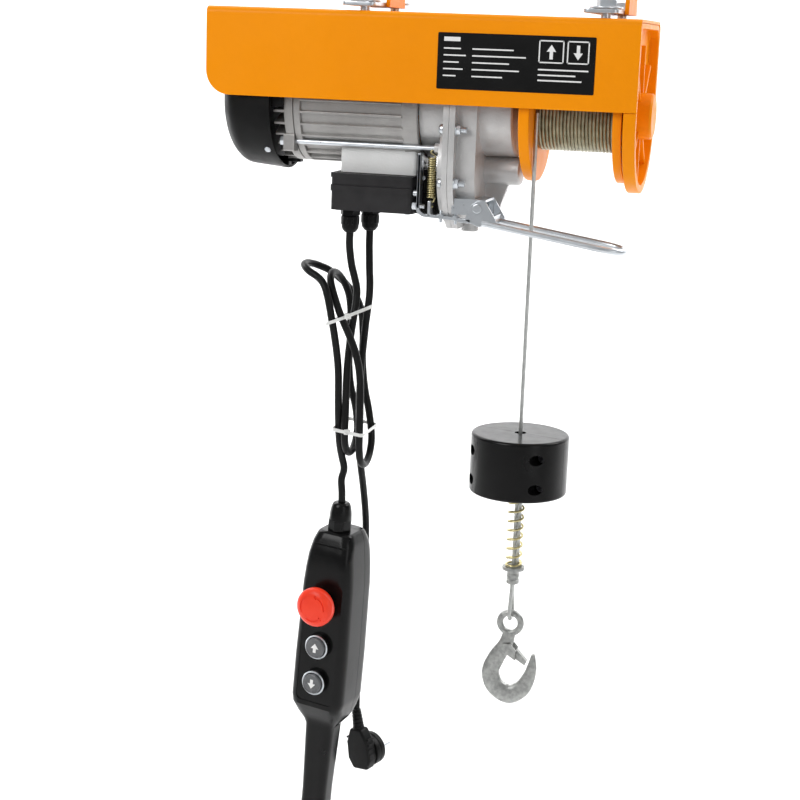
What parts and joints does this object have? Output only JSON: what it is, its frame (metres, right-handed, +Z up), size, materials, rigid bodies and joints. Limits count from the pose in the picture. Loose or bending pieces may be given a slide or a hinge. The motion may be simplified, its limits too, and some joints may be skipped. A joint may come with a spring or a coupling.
{
  "type": "electric wire rope hoist",
  "caption": "Electric wire rope hoist: geared motor and rope drum under a steel channel with two beam hangers, hook with limit block, limit lever and hand pendant on a cable.",
  "frame": {"origin": "middle of the underside of the left hanger's seat, where it rests on the beam", "axes": "+X along the motor and drum from the fan to the end cover, +Y to the rear, +Z up"},
  "size_m": [0.438, 0.1674, 0.9789],
  "materials": {
    "orange_paint": "semi-gloss orange powder coat",
    "zinc": "bright zinc plate",
    "yellow_zinc": "yellow zinc plated spring wire",
    "cast_aluminium": "die-cast, satin",
    "steel": "machined",
    "bearing_steel": "ground",
    "copper": "varnished winding",
    "black_plastic": "moulded black",
    "black_rubber": "satin black sheath",
    "red_plastic": "moulded red",
    "grey_plastic": "moulded grey"
  },
  "bodies": {
    "hoist_frame": {"frame_channel": "orange_paint", "end_cover": "orange_paint", "hanger_left": "orange_paint", "hanger_right": "orange_paint", "hanger_bolt_left_front": "zinc", "hanger_bolt_left_rear": "zinc", "hanger_bolt_right_front": "zinc", "hanger_bolt_right_rear": "zinc", "tie_rod_front": "zinc", "tie_rod_rear": "zinc", "flange_bolt_upper": "zinc", "flange_bolt_lower": "zinc", "hanging_rope": "zinc", "lever_bracket": "zinc", "lever_pivot_pin": "zinc", "lever_spring": "yellow_zinc", "motor_housing": "cast_aluminium", "rear_end_bell": "cast_aluminium", "gearbox_cover": "cast_aluminium", "gearbox_housing": "cast_aluminium", "drum_bearing": "bearing_steel", "stator": "copper", "fan_cover": "black_plastic", "terminal_box_base": "black_plastic", "terminal_box_cover": "black_plastic", "gland_control": "black_plastic", "gland_power": "black_plastic", "limit_switch": "black_plastic", "pendant_front_shell": "black_plastic", "pendant_rear_shell": "black_plastic", "pendant_gland": "black_plastic", "cable_hank": "black_rubber", "control_cable_upper": "black_rubber", "control_cable_lower": "black_rubber", "power_cable_upper": "black_rubber", "power_cable_lower": "black_rubber", "plug": "black_rubber", "start_capacitor": "grey_plastic"},
    "drum": {"rope_drum": "orange_paint", "rope_winding": "zinc", "drum_shaft": "steel", "output_gear": "steel"},
    "intermediate": {"intermediate_gear": "steel", "intermediate_shaft": "steel"},
    "motor_rotor": {"rotor": "steel", "cooling_fan": "black_plastic"},
    "hook_line": {"rope_ferrule": "zinc", "rope_eye": "zinc", "buffer_spring": "yellow_zinc"},
    "limit_block": {"limit_block_front": "black_plastic", "limit_block_rear": "black_plastic"},
    "load_hook": {"hook": "zinc"},
    "latch": {"hook_latch": "zinc"},
    "lever": {"limit_lever": "zinc"},
    "plunger": {"limit_plunger": "zinc"},
    "estop_actuator": {"estop_stem": "grey_plastic"},
    "estop_cap": {"estop_head": "red_plastic"},
    "raise_button": {"up_button": "grey_plastic"},
    "lower_button": {"down_button": "grey_plastic"}
  },
  "joints": [
    {"name": "drum_spin", "type": "hinge", "parent": "hoist_frame", "child": "drum", "pos_m": [0.19, 0, -0.163], "axis": [-1, 0, 0], "range_deg": [0, 246]},
    {"name": "intermediate_spin", "type": "hinge", "parent": "hoist_frame", "child": "intermediate", "pos_m": [0.08, 0, -0.223], "axis": [-1, 0, 0], "range_deg": [-1240, 0]},
    {"name": "rotor_spin", "type": "hinge", "parent": "hoist_frame", "child": "motor_rotor", "pos_m": [-0.02, 0, -0.163], "axis": [-1, 0, 0], "range_deg": [0, 6990]},
    {"name": "hook_lift", "type": "slide", "parent": "hoist_frame", "child": "hook_line", "axis": [0, 0, 1], "range_m": [0, 0.17], "deforming": ["hanging_rope"]},
    {"name": "block_slide", "type": "slide", "parent": "hook_line", "child": "limit_block", "axis": [0, 0, 1], "range_m": [-0.03, 0], "stiffness_N_per_m": 3000, "springref_m": 0.004, "deforming": ["buffer_spring"]},
    {"name": "hook_swing", "type": "hinge", "parent": "hook_line", "child": "load_hook", "pos_m": [0.157, -0.0395, -0.6794], "axis": [0, 1, 0], "range_deg": [-25, 25]},
    {"name": "hook_latch_swing", "type": "hinge", "parent": "load_hook", "child": "latch", "pos_m": [0.155, -0.0395, -0.71], "axis": [0, 1, 0], "range_deg": [0, 35], "stiffness_Nm_per_rad": 0.03, "springref_deg": -11.46},
    {"name": "limit_lever_tilt", "type": "hinge", "parent": "hoist_frame", "child": "lever", "pos_m": [0.1064, -0.039, -0.257], "axis": [0, -1, 0], "range_deg": [0, 8], "stiffness_Nm_per_rad": 0.75, "springref_deg": -5.73, "deforming": ["lever_spring"]},
    {"name": "limit_plunger_slide", "type": "slide", "parent": "hoist_frame", "child": "plunger", "axis": [-1, 0, 0], "range_m": [0, 0.0023]},
    {"name": "estop_press", "type": "slide", "parent": "hoist_frame", "child": "estop_actuator", "axis": [0.1733, 0.9848, -0.0109], "range_m": [0, 0.004]},
    {"name": "estop_twist", "type": "hinge", "parent": "estop_actuator", "child": "estop_cap", "pos_m": [-0.04177, -0.02, -0.68735], "axis": [0.1733, 0.9848, -0.0109], "range_deg": [0, 45], "stiffness_Nm_per_rad": 0.05},
    {"name": "up_button_press", "type": "slide", "parent": "hoist_frame", "child": "raise_button", "axis": [0.1733, 0.9848, -0.0109], "range_m": [0, 0.0035], "stiffness_N_per_m": 400},
    {"name": "down_button_press", "type": "slide", "parent": "hoist_frame", "child": "lower_button", "axis": [0.1733, 0.9848, -0.0109], "range_m": [0, 0.0035], "stiffness_N_per_m": 400}
  ],
  "couplings": [
    {"joint": "intermediate_spin", "follows": "drum_spin", "ratio": -5},
    {"joint": "rotor_spin", "follows": "drum_spin", "ratio": 28.333},
    {"joint": "hook_lift", "follows": "drum_spin", "m_per_rad": 0.0395},
    {"joint": "limit_plunger_slide", "follows": "limit_lever_tilt", "m_per_rad": 0.0159}
  ]
}
